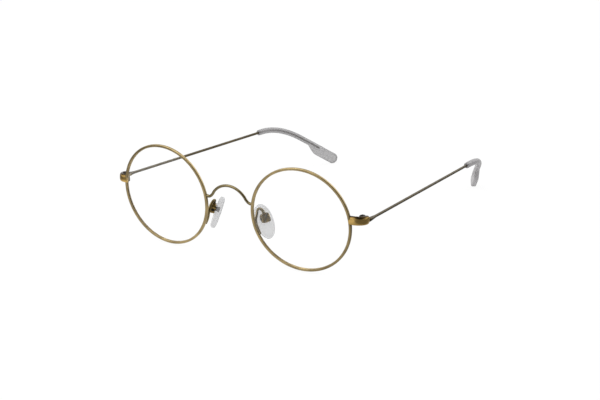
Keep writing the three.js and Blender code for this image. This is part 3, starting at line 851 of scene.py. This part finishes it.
# Nose pads, their boxes and arms
def nose_pad():
    """An oval pad, crowned on both faces."""
    start_fresh()
    bpy.ops.mesh.primitive_cylinder_add(
        vertices=PAD_SIDES, radius=1, depth=PAD_THICKNESS * MM, rotation=(0, rad(90), 0))
    piece = stretched(settle(bpy.context.object), 1, PAD_WIDTH / 2 * MM, PAD_LENGTH / 2 * MM)
    edit(piece)
    pick_faces(piece, lambda normal, middle: abs(normal.x) > FACING)
    bpy.ops.transform.resize(value=(PAD_EDGE_SHARE, 1, 1), center_override=(0, 0, 0))
    for ring, crown in PAD_RINGS:
        bpy.ops.mesh.inset(thickness=PAD_RING_INSET * MM)
        bpy.ops.transform.resize(value=(crown, ring, ring), center_override=(0, 0, 0))
    start_fresh()
    return placed(rounded(piece, PAD_ROUNDING, segments=6, angle=50), shift(PAD_PLANE, 0, -PAD_DROP))


def stiffener():
    """A small plate inside the pad with the tongue that goes into the box."""
    wide, tall, thick = INSERT_WIDTH / 2, INSERT_LENGTH / 2, INSERT_THICKNESS / 2
    piece = block((PAD_PLANE - thick, -wide, -tall), (PAD_PLANE + thick, wide, tall))
    tongue = block((PAD_PLANE, -TONGUE_WIDTH / 2, -TONGUE_HEIGHT / 2),
                   (TONGUE_END, TONGUE_WIDTH / 2, TONGUE_HEIGHT / 2))
    return combined(rounded(piece, INSERT_ROUNDING), rounded(tongue, TONGUE_ROUNDING), "UNION")


def pad_box():
    """A small box with round corners, a domed back and a mouth for the pad's tongue."""
    wide, tall = BOX_WIDTH / 2, BOX_HEIGHT / 2
    piece = block((BOX_FRONT, -wide, -tall), (BOX_BACK - BOX_DOME, wide, tall))
    edit(piece)
    pick_edges(piece, lambda start, end: abs(start.x - end.x) > MERGE_REACH)
    bpy.ops.mesh.bevel(offset=BOX_CORNER * MM, segments=6, affect="EDGES")
    pick_faces(piece, lambda normal, middle: normal.x > FACING)
    bpy.ops.mesh.inset(thickness=BOX_DOME_INSET * MM)
    bpy.ops.transform.translate(value=metres((BOX_DOME, 0, 0)))
    rounded(piece, BOX_ROUNDING, segments=4, angle=25)
    wide, tall = TONGUE_WIDTH / 2 + MOUTH_SIDE_GAP, TONGUE_HEIGHT / 2 + MOUTH_END_GAP
    mouth = block((BOX_FRONT - MOUTH_AHEAD, -wide, -tall), (TONGUE_END + MOUTH_FLOOR_GAP, wide, tall))
    return combined(piece, mouth, "DIFFERENCE")


def pad_arm():
    """A wire soldered along the back of the rim that loops over and comes down on the box."""
    seated = []
    for degrees in ARM_SEAT_ANGLES:
        seated.append((RIM_MIDDLE * math.cos(rad(degrees)), ARM_SEAT_BACK,
                       RIM_MIDDLE * ROUNDNESS * math.sin(rad(degrees))))
    on_box = []
    for rise in (ARM_RISE, -ARM_SINK):
        top = metres(((BOX_FRONT + BOX_BACK) / 2, 0, BOX_HEIGHT / 2 + rise))
        on_box.append((pad_in_eye @ top) / MM)
    return wire([*seated, *ARM_LOOP, *on_box], ARM_WIRE, ARM_SWELL)


for pad in pair(placed(nose_pad(), pad_place),
                "silicone_pad", "{side}_nose_pad", "nose_pad", silicone):
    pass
pair(placed(stiffener(), pad_place),
     "pad_stiffener", "{side}_nose_pad", "pad_insert", nylon)
pair(placed(pad_box(), pad_place), "pad_holder", "front", "pad_box", holder_brass)
pad_screw = screw(PAD_SCREW_HEAD, PAD_SCREW_HEAD_HEIGHT, PAD_SCREW, BOX_WIDTH)
pair(placed(pad_screw, pad_place @ shift(0, -BOX_WIDTH / 2, 0) @ turn(90, "X")),
     "pad_holder_screw", "front", "pad_screw", steel)
pair(placed(pad_arm(), eye_place), "pad_arm_wire", "front", "pad_arm", shaded_fitting_brass)


# Stage: a white floor that keeps a soft shadow, and white surroundings. The metal mirrors them with a
# dark card above the camera and to its right, and with a darker floor beyond the sides of a white sheet
FLOOR_SIZE = 6000
FLOOR_LEVEL = -0.3
FLOOR_GLOW = 0.92
SHEET_MIDDLE = -30
SHEET_EDGE = (50, 130)
BESIDE_SHEET = 0.1
CARD_AZIMUTH = 55
CARD_ELEVATION = 40
CARD_EDGE = (0.25, 0.85)
CARD_TONE = 0.04
AMBIENT_LIGHT = 0.72


def ray_kinds(tree):
    """Two switches: 1 for rays straight from the camera or through glass, and 1 for mirrored rays."""
    rays = add(tree, "LightPath").outputs
    direct = add(tree, "Math", {
        0: rays["Is Camera Ray"], 1: rays["Is Transmission Ray"]}, operation="MAXIMUM")
    return direct.outputs["Value"], rays["Is Glossy Ray"]


def white_floor():
    """Matt white paint with a faint shadow, under a white glow.

    In the metal's reflections the glow is dimmer beside the sheet.
    """
    finish, tree = new_finish("matt_white_floor")
    direct, mirror = ray_kinds(tree)
    shown = add(tree, "Math", {0: direct, 1: mirror}, operation="MAXIMUM")
    share = add(tree, "Math", {0: shown.outputs["Value"], 1: FLOOR_GLOW}, operation="MULTIPLY")
    across = add(tree, "SeparateXYZ", {"Vector": add(tree, "TexCoord").outputs["Object"]})
    beside = add(tree, "Math", {0: across.outputs["X"], 1: SHEET_MIDDLE * MM}, operation="SUBTRACT")
    apart = add(tree, "Math", {0: beside.outputs["Value"]}, operation="ABSOLUTE")
    sheet = add(tree, "MapRange", {
        "Value": apart.outputs["Value"], "From Min": SHEET_EDGE[0] * MM, "From Max": SHEET_EDGE[1] * MM,
        "To Min": 1.0, "To Max": BESIDE_SHEET})
    glow = add(tree, "Math", {0: direct, 1: sheet.outputs["Result"]}, operation="MAXIMUM")
    paint = add(tree, "BsdfDiffuse", {"Color": linear("#F2F2F2")})
    white = add(tree, "Emission", {"Color": linear("#FFFFFF"), "Strength": glow.outputs["Value"]})
    both = add(tree, "MixShader", {
        "Fac": share.outputs["Value"], 1: paint.outputs["BSDF"], 2: white.outputs["Emission"]})
    add(tree, "OutputMaterial", {"Surface": both.outputs["Shader"]})
    return finish


start_fresh()
bpy.ops.mesh.primitive_plane_add(size=FLOOR_SIZE * MM, location=metres((0, 0, FLOOR_LEVEL)))
floor = bpy.context.object
floor.name = "studio_floor"
floor.data.materials.append(white_floor())


def direction(azimuth, elevation):
    """The way to look out at an azimuth and elevation, with azimuth 0 at the front of the glasses."""
    level = math.cos(rad(elevation))
    x = math.sin(rad(azimuth)) * level
    y = -math.cos(rad(azimuth)) * level
    return Vector((x, y, math.sin(rad(elevation))))


world = bpy.data.worlds.new("white_studio")
bpy.context.scene.world = world
world.use_nodes = True
sky = world.node_tree
sky.nodes.clear()
direct, mirror = ray_kinds(sky)
outlook = add(sky, "TexCoord").outputs["Generated"]
card_middle = direction(CARD_AZIMUTH, CARD_ELEVATION)
card = add(sky, "VectorMath", {0: outlook, 1: card_middle}, operation="DOT_PRODUCT")
wall = add(sky, "MapRange", {
    "Value": card.outputs["Value"], "From Min": CARD_EDGE[0], "From Max": CARD_EDGE[1],
    "To Min": 1.0, "To Max": CARD_TONE})
mirrored_wall = add(sky, "Math", {0: mirror, 1: wall.outputs["Result"]}, operation="MULTIPLY")
shown = add(sky, "Math", {0: direct, 1: mirrored_wall.outputs["Value"]}, operation="MAXIMUM")
plain = add(sky, "Math", {0: 1.0, 1: mirror}, operation="SUBTRACT")
ambient = add(sky, "Math", {0: plain.outputs["Value"], 1: AMBIENT_LIGHT}, operation="MULTIPLY")
strength = add(sky, "Math", {0: shown.outputs["Value"], 1: ambient.outputs["Value"]}, operation="MAXIMUM")
light = add(sky, "Background", {"Color": linear("#FFFFFF"), "Strength": strength.outputs["Value"]})
add(sky, "OutputWorld", {"Surface": light.outputs["Background"]})


def lamp(name, azimuth, elevation, distance, size, watts):
    """A square soft box aimed at the glasses."""
    away = direction(azimuth, elevation)
    start_fresh()
    bpy.ops.object.light_add(type="AREA", location=metres(away * distance))
    soft_box = bpy.context.object
    soft_box.name = name
    soft_box.data.size = size * MM
    soft_box.data.energy = watts
    soft_box.rotation_euler = away.to_track_quat("Z", "Y").to_euler()


lamp("soft_key", azimuth=-35, elevation=50, distance=1200, size=1200, watts=11)
lamp("soft_fill", azimuth=150, elevation=45, distance=1200, size=1200, watts=6)

# Camera at the photograph's angle, fitted to the rims and the temples
CAMERA_AZIMUTH = 32.95
CAMERA_ELEVATION = 17.36
CAMERA_ROLL = -0.61
CAMERA_DISTANCE = 690.85
CAMERA_AIM = (-10.82, 5.59)
CAMERA_LENS = 90
CAMERA_SENSOR = 36
CAMERA_NEAR = 10
start_fresh()
bpy.ops.object.camera_add()
camera = bpy.context.object
back = direction(CAMERA_AZIMUTH, CAMERA_ELEVATION)
across = Vector((math.cos(rad(CAMERA_AZIMUTH)), math.sin(rad(CAMERA_AZIMUTH)), 0))
upward = back.cross(across)
right = across * math.cos(rad(CAMERA_ROLL)) + upward * math.sin(rad(CAMERA_ROLL))
top = upward * math.cos(rad(CAMERA_ROLL)) - across * math.sin(rad(CAMERA_ROLL))
camera.rotation_euler = Matrix((right, top, back)).transposed().to_euler()
camera.location = metres(right * CAMERA_AIM[0] + top * CAMERA_AIM[1] + back * CAMERA_DISTANCE)
camera.data.sensor_fit = "HORIZONTAL"
camera.data.sensor_width = CAMERA_SENSOR
camera.data.lens = CAMERA_LENS
camera.data.clip_start = CAMERA_NEAR * MM
bpy.context.scene.camera = camera
bpy.context.scene.view_settings.view_transform = "Standard"
